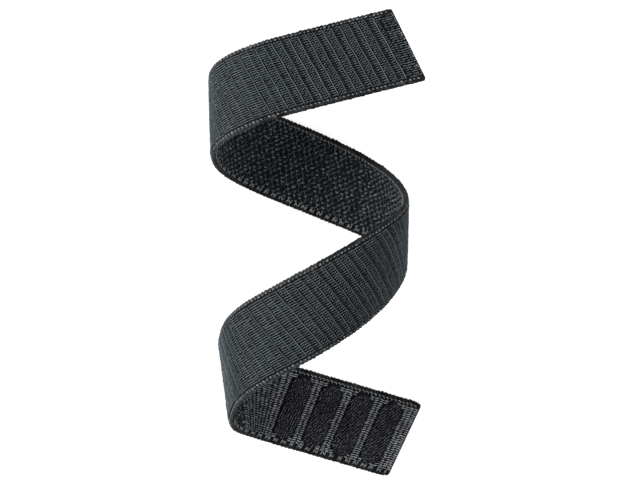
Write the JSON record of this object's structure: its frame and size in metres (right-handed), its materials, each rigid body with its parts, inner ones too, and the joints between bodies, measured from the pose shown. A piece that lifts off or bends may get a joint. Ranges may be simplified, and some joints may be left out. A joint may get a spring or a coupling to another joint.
{
  "type": "hook and loop watch strap",
  "caption": "Woven pull-through watch strap with hook pads at one end of its inner face and loop pile all along its outer face, lying curled as it does off the wrist.",
  "frame": {"origin": "on the table under the middle of the curled strap's bounding box", "axes": "+Y along the axis of the curl, from the hook end towards the free end; +X to the right as seen from above with +Y up; +Z up from the table"},
  "size_m": [0.0572, 0.1158, 0.0378],
  "materials": {
    "ground_weave": "matte woven nylon, dark slate",
    "loop_pile": "soft looped nylon pile in ribs, slate grey",
    "selvedge": "tight beaded selvedge, slate grey",
    "sealed_edge": "heat-sealed nylon, slightly glossy",
    "hook_pile": "stiff monofilament hooks, near black",
    "stitching": "columns of grey thread stitches"
  },
  "bodies": {
    "back_run": {"webbing_back_run": "ground_weave", "loop_face_back_run": "loop_pile", "selvedge_top_back_run": "selvedge", "selvedge_bottom_back_run": "selvedge", "webbing_bend_1": "ground_weave", "loop_face_bend_1": "loop_pile", "selvedge_top_bend_1": "selvedge", "selvedge_bottom_bend_1": "selvedge", "webbing_bend_2": "ground_weave", "loop_face_bend_2": "loop_pile", "selvedge_top_bend_2": "selvedge", "selvedge_bottom_bend_2": "selvedge"},
    "free_run": {"webbing_free_run": "ground_weave", "loop_face_free_run": "loop_pile", "selvedge_top_free_run": "selvedge", "selvedge_bottom_free_run": "selvedge", "free_end_seal": "sealed_edge"},
    "front_run": {"webbing_front_run": "ground_weave", "loop_face_front_run": "loop_pile", "selvedge_top_front_run": "selvedge", "selvedge_bottom_front_run": "selvedge", "webbing_bend_3": "ground_weave", "loop_face_bend_3": "loop_pile", "selvedge_top_bend_3": "selvedge", "selvedge_bottom_bend_3": "selvedge"},
    "hook_run": {"webbing_hook_run": "ground_weave", "loop_face_hook_run": "loop_pile", "selvedge_top_hook_run": "selvedge", "selvedge_bottom_hook_run": "selvedge", "hook_end_seal": "sealed_edge", "hook_pad_1": "hook_pile", "hook_pad_2": "hook_pile", "hook_pad_3": "hook_pile", "hook_pad_4": "hook_pile", "stitch_band_1": "stitching", "stitch_band_2": "stitching", "stitch_band_3": "stitching", "stitch_band_4": "stitching", "stitch_band_5": "stitching"}
  },
  "joints": [
    {"name": "bend_1", "type": "hinge", "parent": "back_run", "child": "free_run", "pos_m": [-0.02708, 0.02994, 0.01286], "axis": [0.0521, -0.9933, 0.1032], "range_deg": [-40, 96], "stiffness_Nm_per_rad": 0.02, "deforming": ["webbing_bend_1", "loop_face_bend_1", "selvedge_top_bend_1", "selvedge_bottom_bend_1"]},
    {"name": "bend_2", "type": "hinge", "parent": "back_run", "child": "front_run", "pos_m": [0.02102, 0.00305, 0.0192], "axis": [-0.0632, 0.881, 0.4688], "range_deg": [-40, 110], "stiffness_Nm_per_rad": 0.02, "deforming": ["webbing_bend_2", "loop_face_bend_2", "selvedge_top_bend_2", "selvedge_bottom_bend_2"]},
    {"name": "bend_3", "type": "hinge", "parent": "front_run", "child": "hook_run", "pos_m": [-0.02126, -0.03522, 0.00932], "axis": [-0.1657, 0.9843, 0.0609], "range_deg": [-30, 60], "stiffness_Nm_per_rad": 0.02, "deforming": ["webbing_bend_3", "loop_face_bend_3", "selvedge_top_bend_3", "selvedge_bottom_bend_3"]}
  ]
}
